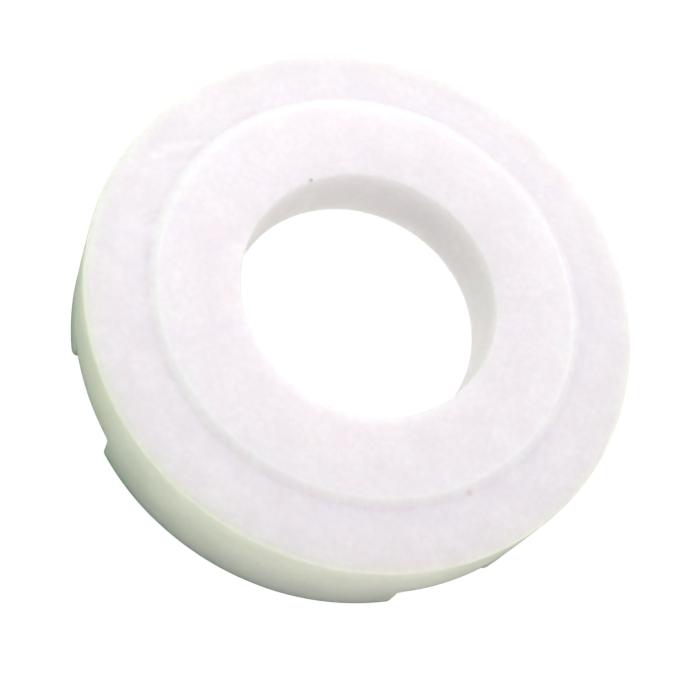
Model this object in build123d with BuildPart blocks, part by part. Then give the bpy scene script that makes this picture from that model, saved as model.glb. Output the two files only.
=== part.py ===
"""Moulded plastic washer: flat rim, shallow raised boss round the bore, slotted foot ring underneath.

Frame: origin at the centre of the base, +Z up along the bore, millimetres.
The four slots in the foot ring open along +X, +Y, -X and -Y.
"""
import os

from build123d import *

# ---- rim ----
rim_diameter = 27.8            # at the top edge, less the moulding draft
rim_height = 6.0               # base to the flat rim face
rim_edge_radius = 0.4

# ---- foot ring ----
foot_diameter = 28.2           # widest, where the foot stands
foot_height = 1.9              # the web's underside is this far above the base
foot_inner_diameter = 21.6     # at the base
foot_root_diameter = 21.2      # where the ring meets the web
foot_edge_radius = 0.2
foot_root_radius = 0.4

# ---- slots across the foot ring ----
slot_width = 5.0
slot_mouth_radius = 0.35       # rounds each slot's outer corners
slot_clearance = 1.0           # the cut starts this far outside the foot, and below it

# ---- boss ----
boss_diameter = 21.1           # at its edge
boss_root_diameter = 22.0      # where its side meets the rim face
boss_height = 0.2              # step up from the rim face
boss_edge_radius = 0.25
boss_root_radius = 0.2
crown_drop = 0.25              # fall of the boss's face from its edge to the bore

# ---- bore ----
bore_diameter = 13.0           # clearance for an M12 bolt
bore_top_radius = 0.1
bore_bottom_radius = 0.5       # guides the bolt in

# ---- derived ----
bore_radius = bore_diameter / 2
boss_radius = boss_diameter / 2
foot_radius = foot_diameter / 2
boss_top = rim_height + boss_height
crown_width = boss_radius - bore_radius
crown_radius = (crown_width ** 2 + crown_drop ** 2) / (2 * crown_drop)

with BuildPart() as washer_body:
    # The body: one section turned about the bore.
    with BuildSketch(Plane.XZ) as section:
        with BuildLine():
            bore_wall = Line((bore_radius, foot_height), (bore_radius, boss_top - crown_drop))
            crown = RadiusArc(bore_wall @ 1, (boss_radius, boss_top), crown_radius)
            step = Line(crown @ 1, (boss_root_diameter / 2, rim_height))
            rim_face = Line(step @ 1, (rim_diameter / 2, rim_height))
            rim = Line(rim_face @ 1, (foot_radius, 0))
            foot_base = Line(rim @ 1, (foot_inner_diameter / 2, 0))
            foot_wall = Line(foot_base @ 1, (foot_root_diameter / 2, foot_height))
            underside = Line(foot_wall @ 1, bore_wall @ 0)
        make_face()
        corner_radii = [
            (bore_wall @ 1, bore_top_radius),
            (crown @ 1, boss_edge_radius),
            (step @ 1, boss_root_radius),
            (rim_face @ 1, rim_edge_radius),
            (rim @ 1, foot_edge_radius),
            (foot_base @ 1, foot_edge_radius),
            (foot_wall @ 1, foot_root_radius),
            (underside @ 1, bore_bottom_radius),
        ]
        for corner, corner_radius in corner_radii:
            fillet(section.vertices().sort_by_distance(corner)[0], radius=corner_radius)
    revolve(axis=Axis.Z)

    # The slots: the plan of the four pads that stay, cut out of everything below the web.
    with BuildSketch(Plane.XY.offset(-slot_clearance), mode=Mode.PRIVATE) as pads:
        Circle(foot_radius)
        Rectangle(foot_diameter, slot_width, mode=Mode.SUBTRACT)
        Rectangle(slot_width, foot_diameter, mode=Mode.SUBTRACT)
        outer_corners = pads.vertices().filter_by(lambda v: Vector(v.X, v.Y).length > foot_radius - 0.1)
        fillet(outer_corners, radius=slot_mouth_radius)
    with BuildSketch(Plane.XY.offset(-slot_clearance)):
        Circle(foot_radius + slot_clearance)
        add(pads.sketch, mode=Mode.SUBTRACT)
    extrude(amount=slot_clearance + foot_height, mode=Mode.SUBTRACT)

os.makedirs("parts", exist_ok=True)
washer_body.part.label = "washer_body"
export_step(washer_body.part, "parts/washer_body.step")
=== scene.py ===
"""The thick white plastic washer: moulded surface, milky plastic, pale floor, soft daylight."""

import math

import bpy
import numpy as np
from mathutils import Matrix, Vector, noise


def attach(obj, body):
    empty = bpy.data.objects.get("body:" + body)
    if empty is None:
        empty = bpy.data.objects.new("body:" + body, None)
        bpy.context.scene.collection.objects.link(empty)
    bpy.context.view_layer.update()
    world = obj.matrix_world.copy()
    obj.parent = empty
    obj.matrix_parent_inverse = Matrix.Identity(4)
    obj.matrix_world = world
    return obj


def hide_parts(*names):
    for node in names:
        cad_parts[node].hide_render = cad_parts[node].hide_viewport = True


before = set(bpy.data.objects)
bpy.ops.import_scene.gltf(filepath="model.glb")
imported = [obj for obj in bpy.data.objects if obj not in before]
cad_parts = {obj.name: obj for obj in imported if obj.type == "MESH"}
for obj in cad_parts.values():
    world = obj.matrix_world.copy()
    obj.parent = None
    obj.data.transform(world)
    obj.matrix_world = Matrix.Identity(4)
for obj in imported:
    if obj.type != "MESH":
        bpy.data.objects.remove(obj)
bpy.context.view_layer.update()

MM = 0.001

# ---- the washer's sizes, millimetres, as the CAD part has them ----
RIM_RADIUS = 13.9
RIM_HEIGHT = 6.0
RIM_EDGE = 0.4                 # edges are given by the radius that rounds them
FOOT_RADIUS = 14.1
FOOT_HEIGHT = 1.9
FOOT_INNER_RADIUS = 10.8
FOOT_ROOT_RADIUS = 10.6
FOOT_EDGE = 0.2
FOOT_ROOT = 0.4
BOSS_RADIUS = 10.55            # at its edge
BOSS_ROOT_RADIUS = 11.0        # where its side meets the rim's face
BOSS_TOP = 6.2
BOSS_EDGE = 0.25
BOSS_ROOT = 0.2
CROWN_DROP = 0.25              # fall of the boss's face from its edge to the bore
BORE_RADIUS = 6.5
BORE_TOP_EDGE = 0.1
BORE_BOTTOM_EDGE = 0.5
SLOT_HALF_WIDTH = 2.5
SLOT_MOUTH = 0.35              # rounds the slots' outer corners
SLOT_LIP = 0.14                # rounds the slots' edges underneath
ROOF_EDGE = 0.14               # rounds the outer edge of the slots' roofs

# ---- the mesh ----
SLOT_COLUMNS = 22              # across a slot
PAD_COLUMNS = 40               # from a slot's mouth to the middle of a pad
WALL_ROWS = 8                  # up a slot's wall
RADIAL_INSIDE = 10.4           # within this radius the columns run straight to the middle
MOUTH_STEPS = (0, 0.02, 0.07, 0.14, 0.23, 0.35)    # millimetres from a slot's wall
ABOVE_ROOF = (0.02, 0.07, 0.14)                    # millimetres above the slots' roofs
SHARP_ANGLE = 38               # degrees: edges that turn less than this are shaded smooth
# unevenness of the moulded surface: waves per millimetre, offset, height in millimetres
WAVES = [
    (0.16, (3.1, 8.2, 1.7), 0.018),
    (0.75, (9.4, 2.6, 5.3), 0.006),
]
# the face it stands on and the bore's wall keep this share of the waves, and only inwards
TRUE_SHARE = 0.4
STANDING_FACE_TOP = 0.05
BORE_WALL_REACH = 0.02

# ---- the camera ----
VIEW_AZIMUTH = 38.97
VIEW_ELEVATION = 62.4
VIEW_ROLL = -33.34
VIEW_DISTANCE = 61.38
VIEW_TARGET = (1.60, -2.075, RIM_HEIGHT)
LENS = 65.69
SENSOR = 36
SHIFT = (0.0071, -0.0286)
CLIP = (0.005, 10)             # metres

# ---- the plastic ----
MILK_WARM = (0.968, 0.887, 0.945, 1)
MILK_COOL = (0.94, 0.873, 0.945, 1)
MILK_PALE = (0.985, 0.931, 0.98, 1)
MILK_DULL = (0.86, 0.813, 0.855, 1)
SPECK_COLOR = (0.25, 0.22, 0.18, 1)
SCUFF_COLOR = (0.99, 0.98, 0.99, 1)
SHADER = {
    "IOR": 1.53,
    "Specular IOR Level": 0.25,
    "Subsurface Weight": 1.0,
    "Subsurface Radius": (1.0, 0.9, 0.8),
    "Subsurface Scale": 0.0013,
}
# layers laid over MILK_COOL: noise scale, detail and shift, its lowest and highest value, share, colour
LAYERS = [
    (0.17, 3, 4.0, 0.36, 0.64, 1.0, MILK_WARM),
    (0.8, 4, 9.0, 0.34, 0.66, 0.8, MILK_PALE),
    (3.2, 3, 2.0, 0.3, 0.7, 0.5, MILK_DULL),
    (0.45, 3, 12.0, 0.42, 0.62, 0.3, MILK_DULL),
]
# where it has been handled: noise scale, detail and shift
HANDLED = (0.5, 2, 6.0)
# that noise's lowest and highest value, and the roughness at each
ROUGHNESS = (0.3, 0.7, 0.36, 0.5)
# relief: noise scale, detail and shift, depth in millimetres
RELIEF = [
    (1.1, 3, 1.0, 0.03),
    (5.0, 4, 7.0, 0.008),
]
# painted shading that runs outwards: radius in millimetres, and what the milky colour is multiplied by;
# painted shade towards the bore, a painted highlight along the boss's edge, painted shade at the boss's
# root, a greyer rim face, and painted shade towards the rim's outer edge
PAINTED_SHADING_RUN = [
    (6.5, (0.93, 0.93, 0.93)),
    (8.6, (0.965, 0.965, 0.965)),
    (10.0, (0.985, 0.985, 0.985)),
    (10.35, (1.0, 1.0, 1.005)),
    (10.5, (1.025, 1.035, 1.03)),
    (10.62, (1.025, 1.035, 1.03)),
    (10.75, (1.02, 1.01, 1.025)),
    (10.92, (1.0, 0.995, 1.005)),
    (11.05, (0.93, 0.94, 0.94)),
    (11.3, (0.945, 0.955, 0.955)),
    (12.2, (0.94, 0.95, 0.95)),
    (13.5, (0.88, 0.90, 0.88)),
]

# ---- the light ----
SKY_STRENGTH = 0.42            # as light on the washer
SKY_SEEN = 1.0                 # as background
# name, azimuth, elevation, distance, size, power, colour
LAMPS = [
    ("window", 206, 42, 0.25, 0.16, 0.28, (1, 1, 1)),
    ("lamp", 283, 50, 0.07, 0.04, 0.0123, (1, 1, 1)),
    ("ceiling", 0, 89, 0.5, 0.4, 0.2, (1, 1, 1)),
    ("fill_right", 85, 7, 0.3, 0.2, 0.24, (1, 0.95, 0.9)),
    ("fill_left", 332, 5, 0.3, 0.2, 0.17, (0.55, 1, 0.5)),
]

# ---- the floor ----
FLOOR_SIZE = 2.0               # metres
FLOOR_DROP = 0.02              # millimetres below the washer's foot
FLOOR_GLOW = 1.06
FLOOR_COLOR = (0.9, 0.9, 0.9, 1)
FLOOR_SHADOW = 0.08            # share of the floor's brightness that shadows can take away
BOUNCE_REACH = 30.0            # millimetres from the middle that the shares below are of
# painted bounce light: the colour the floor glows towards the washer at each share of that reach
PAINTED_BOUNCE_RUN = [
    (0.2, (0.96, 1.01, 0.89, 1)),      # within the bore
    (0.42, (0.0, 0.06, 0.0, 1)),       # painted shadow round the foot, where things stand darkest
    (0.61, (0.0, 0.06, 0.0, 1)),
    (0.8, (1.43, 1.57, 1.12, 1)),      # painted bounce light off the plain floor
]


def direction(azimuth, elevation):
    """Unit vector towards a place round the washer: azimuth 0 is -Y, 90 is +X."""
    a, e = math.radians(azimuth), math.radians(elevation)
    return Vector((math.sin(a) * math.cos(e), -math.cos(a) * math.cos(e), math.sin(e)))


def on_face(radius, azimuth, height):
    """A point of the washer's upper side, in millimetres."""
    return tuple(direction(azimuth, 0) * radius + Vector((0, 0, height)))


# dark specks: place, width, strength
SPECKS = [
    (on_face(10.9, 94.3, 6.05), 0.22, 0.22),
    (on_face(6.6, 277.5, 5.95), 0.16, 0.6),
]
# pale scuffs, and dark marks along the boss's root: start, end, width, and strength, above zero for
# pale ones and below for dark ones
SCUFFS_AND_ROOT_MARKS = [
    (on_face(12.33, 307.2, 6.0), on_face(11.4, 300.9, 6.0), 0.3, 0.35),
    (on_face(12.59, 310.8, 6.0), on_face(12.29, 309.6, 6.0), 0.35, 0.35),
    # dark marks: they darken short stretches along the boss's root
    (on_face(11.56, 325.9, 6.0), on_face(11.05, 323.9, 6.0), 0.22, -0.06),
    (on_face(11.35, 328.0, 6.0), on_face(11.05, 326.1, 6.0), 0.22, -0.07),
    (on_face(11.17, 331.8, 6.0), on_face(11.05, 336.8, 6.0), 0.3, -0.06),
    (on_face(11.1, 305.8, 6.0), on_face(11.1, 301.6, 6.0), 0.3, -0.05),
    (on_face(11.26, 289.1, 6.0), on_face(11.1, 282.4, 6.0), 0.28, -0.05),
]
# scratches: start, end, width, depth
SCRATCHES = [
    (on_face(12.2, 307.7, 6.0), on_face(11.4, 295.3, 6.0), 0.16, 0.02),
]


# ---------------------------------------------------------------- section
def spaced(start, end, gap):
    """Points from start to end, both left out, no more than gap apart."""
    count = max(1, math.ceil(math.dist(start, end) / gap))
    steps = [k / count for k in range(1, count)]
    return [(start[0] + (end[0] - start[0]) * t, start[1] + (end[1] - start[1]) * t) for t in steps]


def rounded_corner(before, corner, after, radius, steps):
    """The arc that rounds one corner of a polyline, as points from tangent to tangent."""
    p, a, b = Vector(corner), Vector(before), Vector(after)
    u, v = (a - p).normalized(), (b - p).normalized()
    half = u.angle(v) / 2
    reach = radius / math.tan(half)
    centre = p + (u + v).normalized() * (radius / math.sin(half))
    start, end = p + u * reach - centre, p + v * reach - centre
    turn = start.angle_signed(end)
    return [tuple(centre + Matrix.Rotation(-turn * k / steps, 2) @ start) for k in range(steps + 1)]


def section():
    """The washer's section as (radius, height) points, with the first and last point of its foot."""
    wall_top_radius = FOOT_RADIUS + (RIM_RADIUS - FOOT_RADIUS) * FOOT_HEIGHT / RIM_HEIGHT
    corners = [
        # (radius, height), rounding, steps in the rounding, gap along the run that follows
        ((BORE_RADIUS, FOOT_HEIGHT), BORE_BOTTOM_EDGE, 8, 0.4),
        ((FOOT_ROOT_RADIUS, FOOT_HEIGHT), FOOT_ROOT, 5, 0.3),
        ((FOOT_INNER_RADIUS, 0), FOOT_EDGE, 4, 0.3),
        ((FOOT_RADIUS, 0), FOOT_EDGE, 4, 0.3),
        ((wall_top_radius, FOOT_HEIGHT), 0, 0, 0.3),
        ((RIM_RADIUS, RIM_HEIGHT), RIM_EDGE, 7, 0.22),
        ((BOSS_ROOT_RADIUS, RIM_HEIGHT), BOSS_ROOT, 4, 0.05),
        ((BOSS_RADIUS, BOSS_TOP), BOSS_EDGE, 4, 0.22),
        ((BORE_RADIUS, BOSS_TOP), BORE_TOP_EDGE, 4, 0.25),
    ]
    foot_first, foot_last = 1, 4
    points, foot = [], []
    for k, (corner, radius, steps, gap) in enumerate(corners):
        before = corners[k - 1][0]
        after, after_radius, _, _ = corners[(k + 1) % len(corners)]
        after_next = corners[(k + 2) % len(corners)][0]
        if k in (foot_first, foot_last):
            foot.append(len(points))
        if radius:
            points += rounded_corner(before, corner, after, radius, steps)
        else:
            points.append(corner)
        if k == foot_last:
            points += [(corner[0], corner[1] + rise) for rise in ABOVE_ROOF]
        run_end = after
        if after_radius:
            run_end = rounded_corner(corner, after, after_next, after_radius, 1)[0]
        points += spaced(points[-1], run_end, gap)
    return points, foot


def crown_fall(radius, height):
    """How far the boss's face, and the bore's wall up to it, fall below the section's lines."""
    wall_bottom, wall_top = FOOT_HEIGHT + BORE_BOTTOM_EDGE, BOSS_TOP - BORE_TOP_EDGE
    if radius < BORE_RADIUS + 1e-6 and wall_bottom < height < wall_top:
        return CROWN_DROP * (height - wall_bottom) / (wall_top - wall_bottom)
    if height < wall_top - 1e-6 or radius > BOSS_RADIUS:
        return 0
    return CROWN_DROP * ((BOSS_RADIUS - radius) / (BOSS_RADIUS - BORE_RADIUS)) ** 2


def outline_normals(points):
    """Outward normals of the closed section, in the plane of the section."""
    normals = []
    for k, point in enumerate(points):
        ahead, behind = points[(k + 1) % len(points)], points[k - 1]
        along = Vector(ahead) - Vector(behind)
        normals.append(Vector((along.y, -along.x)).normalized())
    return normals


# ---------------------------------------------------------------- washer mesh
def edge_inset(distance, radius):
    """How far an edge of this radius lies inside the surface at this distance from the sharp edge."""
    if distance >= radius:
        return 0
    return radius - math.sqrt(max(0, radius ** 2 - (radius - distance) ** 2))


def columns():
    """One quadrant's columns: ("slot", share of its half width), or ("pad", distance from its mouth,
    share of the way from there to the pad's middle)."""
    slot = [("slot", -1 + 2 * k / SLOT_COLUMNS) for k in range(1, SLOT_COLUMNS)]
    mouth = [("pad", step, 0) for step in MOUTH_STEPS]
    rest = [("pad", SLOT_MOUTH, k / PAD_COLUMNS) for k in range(1, PAD_COLUMNS + 1)]
    return slot, mouth + rest


def column_angle(column, radius):
    """Angle of a column from the middle of its slot, at one radius."""
    reach = max(radius, RADIAL_INSIDE)
    if column[0] == "slot":
        return math.asin(column[1] * SLOT_HALF_WIDTH / reach)
    _, distance, share = column
    mouth = math.asin((SLOT_HALF_WIDTH + distance) / reach)
    return mouth + (math.pi / 4 - mouth) * share


def build_washer():
    """The washer's mesh: columns of the section all the way round, and the slots' walls."""
    points, (foot_start, foot_end) = section()
    normals = outline_normals(points)
    rings = len(points)
    foot_rings = range(foot_start, foot_end + 1)
    outer_middle = (FOOT_INNER_RADIUS + FOOT_RADIUS) / 2
    roof_start = points[foot_start][0]
    roof_end = points[foot_end][0] - ROOF_EDGE
    vertices, faces = [], []

    def add(radius, angle, height):
        vertices.append((radius * math.cos(angle), radius * math.sin(angle), height))
        return len(vertices) - 1

    def pad_point(column, ring):
        """Radius, column angle and height of a pad or rim vertex."""
        radius, height = points[ring]
        outward, upward = normals[ring]
        height -= crown_fall(radius, height)
        angle = column_angle(column, radius)
        distance = column[1]
        if ring in foot_rings:
            lip = edge_inset(distance, SLOT_LIP)
            if radius < outer_middle:
                lip *= min(max((FOOT_HEIGHT - height) / (2 * SLOT_LIP), 0), 1)
                radius -= lip * outward
            ring_width = FOOT_RADIUS - FOOT_EDGE - FOOT_INNER_RADIUS
            share = (radius - FOOT_INNER_RADIUS) / ring_width
            radius -= edge_inset(distance, SLOT_MOUTH) * min(max(share, 0), 1)
            height -= lip * upward
        elif radius > outer_middle and height > FOOT_HEIGHT:
            radius -= edge_inset(math.hypot(distance, height - FOOT_HEIGHT), ROOF_EDGE)
        return radius, angle, height

    def slot_point(column, ring):
        """Radius, column angle and height of a vertex over a slot."""
        radius, height = points[ring]
        height -= crown_fall(radius, height)
        if ring in foot_rings:
            share = (ring - foot_start) / (foot_end - foot_start)
            radius = roof_start + (roof_end - roof_start) * share
            return radius, column_angle(column, radius), FOOT_HEIGHT
        inset = 0
        if radius > outer_middle and height > FOOT_HEIGHT:
            inset = edge_inset(height - FOOT_HEIGHT, ROOF_EDGE)
        return radius - inset, column_angle(column, radius), height

    def column_ids(column, point, turn, way=1):
        """One vertex for each ring along a column, which a way of -1 mirrors."""
        ids = []
        for ring in range(rings):
            radius, angle, height = point(column, ring)
            ids.append(add(radius, turn + way * angle, height))
        return ids

    slot_columns, half_pad = columns()
    quarters = []              # for each: the ids of its slot's columns and of its pad's columns
    for quarter in range(4):
        turn, next_turn = quarter * math.pi / 2, (quarter + 1) * math.pi / 2
        slot_ids = [column_ids(column, slot_point, turn) for column in slot_columns]
        pad_ids = [column_ids(column, pad_point, turn) for column in half_pad]
        for column in reversed(half_pad[:-1]):
            pad_ids.append(column_ids(column, pad_point, next_turn, -1))
        quarters.append((slot_ids, pad_ids))

    def roof_edge(pad_edge, side, turn):
        """The roof's edge along one slot wall: shares its two ends with the pad's own edge."""
        ids = list(pad_edge)
        end_radius = math.hypot(*vertices[pad_edge[foot_end]][:2])
        for ring in range(foot_start + 1, foot_end):
            share = (ring - foot_start) / (foot_end - foot_start)
            radius = roof_start + (end_radius - roof_start) * share
            ids[ring] = add(radius, turn + column_angle(("slot", side), radius), FOOT_HEIGHT)
        return ids

    def strip(left, right):
        """Faces between two columns."""
        for ring in range(rings):
            nxt = (ring + 1) % rings
            face = (left[ring], right[ring], right[nxt], left[nxt])
            if len(set(face)) == 4:
                faces.append(face)

    def wall(pad_edge, roof, flip):
        """Faces of a slot's wall, from the pad's edge up to the roof's."""
        rows = [pad_edge]
        for row in range(1, WALL_ROWS):
            ids = list(pad_edge)
            for ring in range(foot_start + 1, foot_end):
                low, high = vertices[pad_edge[ring]], vertices[roof[ring]]
                share = row / WALL_ROWS
                vertices.append(tuple(a + (b - a) * share for a, b in zip(low, high)))
                ids[ring] = len(vertices) - 1
            rows.append(ids)
        rows.append(roof)
        for low, high in zip(rows, rows[1:]):
            for ring in foot_rings[:-1]:
                quad = [low[ring], high[ring], high[ring + 1], low[ring + 1]]
                face = tuple(dict.fromkeys(quad))
                if len(face) >= 3:
                    faces.append(face[::-1] if flip else face)

    for quarter, (slot_ids, pad_ids) in enumerate(quarters):
        turn = quarter * math.pi / 2
        last_pad, first_pad = quarters[quarter - 1][1][-1], pad_ids[0]
        left_roof = roof_edge(last_pad, -1, turn)
        right_roof = roof_edge(first_pad, 1, turn)
        across = [left_roof] + slot_ids + [right_roof]
        for run in (across, pad_ids):
            for left, right in zip(run, run[1:]):
                strip(left, right)
        wall(last_pad, left_roof, False)
        wall(first_pad, right_roof, True)

    mesh = bpy.data.meshes.new("washer")
    mesh.from_pydata([tuple(c * MM for c in v) for v in vertices], [], faces)
    mesh.validate()
    mesh.update()
    return mesh


def settle(mesh):
    """Gives the moulded surface its slight unevenness, along the surface's own normals."""
    flat = np.empty(len(mesh.vertices) * 3)
    mesh.vertices.foreach_get("co", flat)
    places = flat.reshape(-1, 3) / MM
    normals = np.array([v.normal for v in mesh.vertices])
    for place, normal in zip(places, normals):
        push = 0
        for scale, offset, height in WAVES:
            push += height * noise.noise(Vector(place) * scale + Vector(offset))
        x, y, z = place
        if z < STANDING_FACE_TOP or math.hypot(x, y) < BORE_RADIUS + BORE_WALL_REACH:
            push = min(push, 0) * TRUE_SHARE
        place += normal * push
    mesh.vertices.foreach_set("co", (places * MM).ravel())
    mesh.update()


# ---------------------------------------------------------------- materials
class Nodes:
    """A material's node tree, with short calls for the nodes below. Lengths are in millimetres."""

    def __init__(self, name):
        self.material = bpy.data.materials.new(name)
        self.material.use_nodes = True
        self.tree = self.material.node_tree
        self.shader = self.tree.nodes["Principled BSDF"]
        place = self.tree.nodes.new("ShaderNodeTexCoord")
        self.place = self.vector("MULTIPLY", place.outputs["Object"], (1 / MM, 1 / MM, 1 / MM))

    def put(self, socket, value):
        """Links a socket to another, or sets its value."""
        if isinstance(value, bpy.types.NodeSocket):
            self.tree.links.new(value, socket)
        else:
            socket.default_value = value

    def vector(self, operation, *values):
        """A vector operation's result, which is a single number for some operations."""
        node = self.tree.nodes.new("ShaderNodeVectorMath")
        node.operation = operation
        for socket, value in zip(node.inputs, values):
            self.put(socket, value)
        single = operation in ("LENGTH", "DISTANCE", "DOT_PRODUCT")
        return node.outputs["Value" if single else "Vector"]

    def math(self, operation, *values):
        node = self.tree.nodes.new("ShaderNodeMath")
        node.operation = operation
        for socket, value in zip(node.inputs, values):
            self.put(socket, value)
        return node.outputs[0]

    def noise(self, scale, detail, shift):
        """Noise round 0.5: a scale of 2 has features of about half a millimetre."""
        at = self.vector("ADD", self.place, (shift, -shift, shift))
        node = self.tree.nodes.new("ShaderNodeTexNoise")
        node.inputs["Scale"].default_value = scale
        node.inputs["Detail"].default_value = detail
        self.put(node.inputs["Vector"], at)
        return node.outputs["Fac"]

    def spread(self, value, low, high, to_low=0.0, to_high=1.0):
        """Maps low..high to to_low..to_high, with nothing beyond."""
        node = self.tree.nodes.new("ShaderNodeMapRange")
        for socket, number in zip(node.inputs, (value, low, high, to_low, to_high)):
            self.put(socket, number)
        return node.outputs["Result"]

    def blend(self, share, first, second):
        """The first colour, with this share of the second."""
        node = self.tree.nodes.new("ShaderNodeMix")
        node.data_type = "RGBA"
        self.put(node.inputs[0], share)
        self.put(node.inputs[6], first)
        self.put(node.inputs[7], second)
        return node.outputs[2]

    def ramp(self, value, stops):
        """Colours that run from stop to stop, given as (value, colour)."""
        low, high = stops[0][0], stops[-1][0]
        node = self.tree.nodes.new("ShaderNodeValToRGB")
        while len(node.color_ramp.elements) < len(stops):
            node.color_ramp.elements.new(1.0)
        for element, (place, color) in zip(node.color_ramp.elements, stops):
            element.position, element.color = (place - low) / (high - low), (*color, 1)
        self.put(node.inputs[0], self.spread(value, low, high))
        return node.outputs[0]

    def bump(self, height, depth, under=None):
        """Relief of this depth in millimetres."""
        node = self.tree.nodes.new("ShaderNodeBump")
        node.inputs["Distance"].default_value = depth * MM
        self.put(node.inputs["Height"], height)
        if under:
            self.put(node.inputs["Normal"], under)
        return node.outputs["Normal"]

    def near_line(self, start, end, width):
        """1 on the line from start to end, fading to 0 at this distance from it."""
        along = tuple(b - a for a, b in zip(start, end))
        length_squared = sum(c * c for c in along) or 1
        offset = self.vector("SUBTRACT", self.place, start)
        share = self.spread(self.vector("DOT_PRODUCT", offset, along), 0, length_squared)
        gap = self.vector("DISTANCE", offset, self.vector("MULTIPLY", share, along))
        return self.spread(gap, 0, width, 1, 0)


def plastic():
    """Natural nylon: milky, a little translucent, satin, clouded under the skin, faintly handled, with
    painted shade and a painted highlight that run by radius.
    """
    n = Nodes("white_plastic")
    for socket, value in SHADER.items():
        n.shader.inputs[socket].default_value = value

    color = MILK_COOL
    for scale, detail, shift, low, high, strength, tint in LAYERS:
        cloud = n.spread(n.noise(scale, detail, shift), low, high)
        color = n.blend(n.math("MULTIPLY", cloud, strength), color, tint)
    from_axis = n.vector("LENGTH", n.vector("MULTIPLY", n.place, (1, 1, 0)))
    # painted shade and a painted highlight, by distance from the axis
    color = n.vector("MULTIPLY", color, n.ramp(from_axis, PAINTED_SHADING_RUN))
    for speck, width, strength in SPECKS:
        dark = n.math("MULTIPLY", n.near_line(speck, speck, width), strength)
        color = n.blend(dark, color, SPECK_COLOR)
    # pale scuffs, and dark marks along the boss's root
    for start, end, width, strength in SCUFFS_AND_ROOT_MARKS:
        share = n.math("MULTIPLY", n.near_line(start, end, width), abs(strength))
        color = n.blend(share, color, SCUFF_COLOR if strength > 0 else SPECK_COLOR)
    n.put(n.shader.inputs["Base Color"], color)

    n.put(n.shader.inputs["Roughness"], n.spread(n.noise(*HANDLED), *ROUGHNESS))

    relief = None
    for scale, detail, shift, depth in RELIEF:
        relief = n.bump(n.noise(scale, detail, shift), depth, relief)
    for start, end, width, depth in SCRATCHES:
        relief = n.bump(n.near_line(start, end, width), -depth, relief)
    n.put(n.shader.inputs["Normal"], relief)
    return n.material


# ---------------------------------------------------------------- stage
def make_floor():
    """A pale floor: it glows, so it stays pale in the washer's shadow; towards the washer it glows with
    soft, greenish painted bounce light that runs by radius, with a painted shadow round the foot.
    """
    bpy.ops.mesh.primitive_plane_add(size=FLOOR_SIZE, location=(0, 0, -FLOOR_DROP * MM))
    floor = bpy.context.object
    floor.name = "floor"
    material = bpy.data.materials.new("floor")
    material.use_nodes = True
    nodes, links = material.node_tree.nodes, material.node_tree.links
    nodes.clear()
    output = nodes.new("ShaderNodeOutputMaterial")
    switch = nodes.new("ShaderNodeMixShader")
    path = nodes.new("ShaderNodeLightPath")
    seen = nodes.new("ShaderNodeMixShader")
    seen.inputs[0].default_value = FLOOR_SHADOW
    glow = nodes.new("ShaderNodeEmission")
    glow.inputs["Strength"].default_value = FLOOR_GLOW
    matte = nodes.new("ShaderNodeBsdfDiffuse")
    matte.inputs["Color"].default_value = FLOOR_COLOR
    # painted bounce light, with a painted shadow round the foot, which every ray but the camera's sees
    bounce = nodes.new("ShaderNodeEmission")
    place = nodes.new("ShaderNodeTexCoord")
    distance = nodes.new("ShaderNodeVectorMath")
    distance.operation = "LENGTH"
    reach = nodes.new("ShaderNodeMapRange")
    reach.inputs["From Max"].default_value = BOUNCE_REACH * MM
    ramp = nodes.new("ShaderNodeValToRGB")
    while len(ramp.color_ramp.elements) < len(PAINTED_BOUNCE_RUN):
        ramp.color_ramp.elements.new(1.0)
    for element, (share, color) in zip(ramp.color_ramp.elements, PAINTED_BOUNCE_RUN):
        element.position, element.color = share, color
    links.new(place.outputs["Object"], distance.inputs[0])
    links.new(distance.outputs["Value"], reach.inputs["Value"])
    links.new(reach.outputs["Result"], ramp.inputs[0])
    links.new(ramp.outputs[0], bounce.inputs["Color"])
    links.new(path.outputs["Is Camera Ray"], switch.inputs[0])
    links.new(bounce.outputs[0], switch.inputs[1])
    links.new(seen.outputs[0], switch.inputs[2])
    links.new(glow.outputs[0], seen.inputs[1])
    links.new(matte.outputs[0], seen.inputs[2])
    links.new(switch.outputs[0], output.inputs["Surface"])
    floor.data.materials.append(material)


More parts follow.
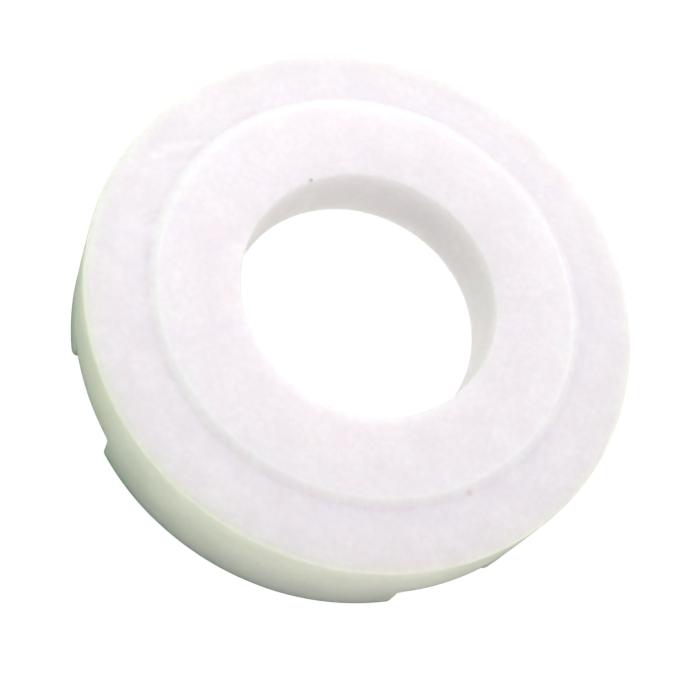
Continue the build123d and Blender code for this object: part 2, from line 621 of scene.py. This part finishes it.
def area_light(name, azimuth, elevation, distance, size, power, color):
    """A round soft light that faces the washer."""
    data = bpy.data.lights.new(name, "AREA")
    data.shape = "DISK"
    data.size = size
    data.energy = power
    data.color = color
    light = bpy.data.objects.new(name, data)
    towards = direction(azimuth, elevation)
    light.location = towards * distance
    light.rotation_euler = (-towards).to_track_quat("-Z", "Y").to_euler()
    bpy.context.collection.objects.link(light)


def make_world():
    """A white room that lights the washer evenly and less than it shows."""
    world = bpy.data.worlds.new("soft_room")
    world.use_nodes = True
    nodes, links = world.node_tree.nodes, world.node_tree.links
    background = nodes["Background"]
    background.inputs["Color"].default_value = (1.0, 1.0, 1.0, 1)
    path = nodes.new("ShaderNodeLightPath")
    strength = nodes.new("ShaderNodeMapRange")
    strength.inputs["To Min"].default_value = SKY_STRENGTH
    strength.inputs["To Max"].default_value = SKY_SEEN
    links.new(path.outputs["Is Camera Ray"], strength.inputs["Value"])
    links.new(strength.outputs["Result"], background.inputs["Strength"])
    bpy.context.scene.world = world


def make_camera():
    """The camera, turned about its own line of sight by the roll."""
    data = bpy.data.cameras.new("camera")
    data.lens = LENS
    data.sensor_width = SENSOR
    data.shift_x, data.shift_y = SHIFT
    camera = bpy.data.objects.new("camera", data)
    back = direction(VIEW_AZIMUTH, VIEW_ELEVATION)
    camera.location = (Vector(VIEW_TARGET) + back * VIEW_DISTANCE) * MM
    upright = (-back).to_track_quat("-Z", "Y").to_matrix()
    rolled = upright @ Matrix.Rotation(math.radians(-VIEW_ROLL), 3, "Z")
    camera.rotation_mode = "QUATERNION"
    camera.rotation_quaternion = rolled.to_quaternion()
    data.clip_start, data.clip_end = CLIP
    bpy.context.collection.objects.link(camera)
    bpy.context.scene.camera = camera


make_camera()
make_world()
make_floor()
for lamp in LAMPS:
    area_light(*lamp)

washer_mesh = build_washer()
settle(washer_mesh)
for polygon in washer_mesh.polygons:
    polygon.use_smooth = True
washer_mesh.set_sharp_from_angle(angle=math.radians(SHARP_ANGLE))
washer = bpy.data.objects.new("washer", washer_mesh)
bpy.context.collection.objects.link(washer)
washer.data.materials.append(plastic())
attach(washer, "root")
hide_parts("washer_body")

bpy.context.scene.view_settings.view_transform = "Standard"
